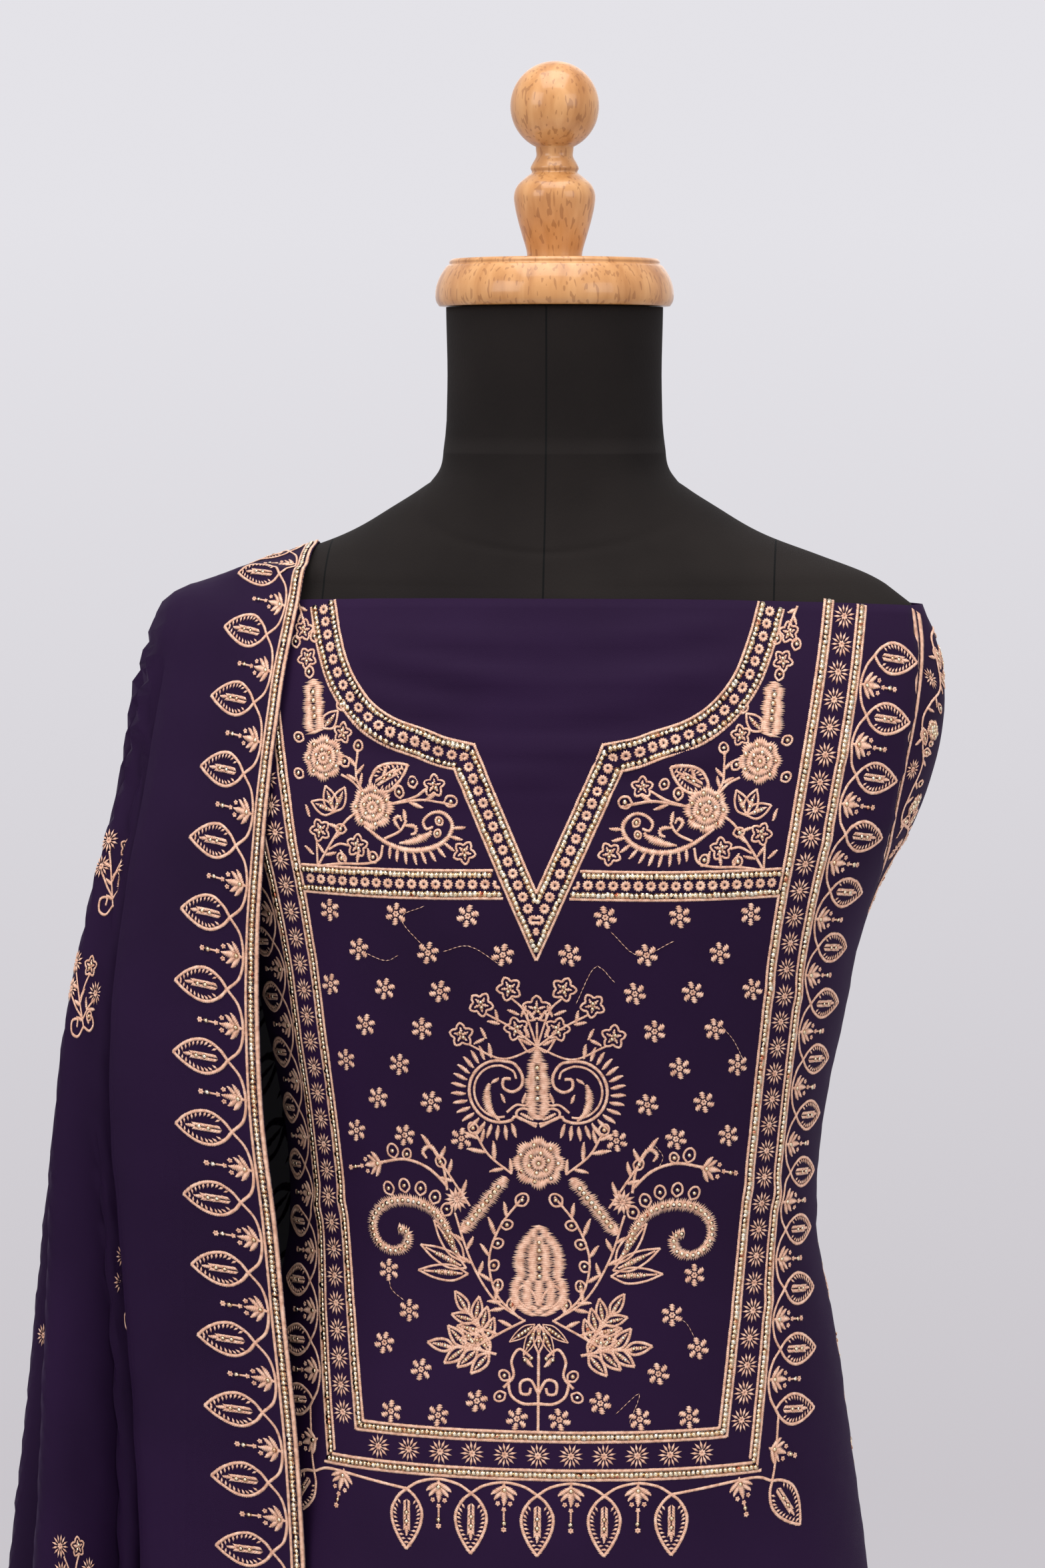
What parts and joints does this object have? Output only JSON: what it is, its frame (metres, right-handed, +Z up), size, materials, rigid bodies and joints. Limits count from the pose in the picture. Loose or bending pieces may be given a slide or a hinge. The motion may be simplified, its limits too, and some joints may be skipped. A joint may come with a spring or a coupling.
{
  "type": "salwar kameez suit on a dress form",
  "caption": "Embroidered purple georgette salwar kameez with a sheer dupatta over one shoulder, worn by a limbless dress form with a turned wooden cap on a pole stand.",
  "frame": {"origin": "on the floor, under the dress form's axis", "axes": "+Z up along the form's axis, the front of the garment faces -Y, +X is to the viewer's right"},
  "size_m": [0.5765, 0.3661, 1.6584],
  "materials": {
    "kameez_cloth": "soft matt georgette",
    "dupatta_cloth": "sheer crepe georgette",
    "salwar_cloth": "plain matt cloth",
    "embroidery_thread": "satin rayon thread",
    "sequins": "champagne metallic",
    "jersey": "fine black jersey",
    "wood": "clear varnished beech",
    "stand": "black powder coat"
  },
  "bodies": {
    "root": {"form_torso": "jersey", "neck_cap": "wood", "finial": "wood", "pole": "stand", "base_plate": "stand", "kameez_front": "kameez_cloth", "kameez_back": "kameez_cloth", "dupatta_front_fall": "dupatta_cloth", "dupatta_shoulder": "dupatta_cloth", "dupatta_back_fall": "dupatta_cloth", "salwar_waistband": "salwar_cloth", "salwar_yoke": "salwar_cloth", "salwar_left_leg": "salwar_cloth", "salwar_right_leg": "salwar_cloth", "salwar_left_cuff": "salwar_cloth", "salwar_right_cuff": "salwar_cloth"}
  },
  "joints": []
}
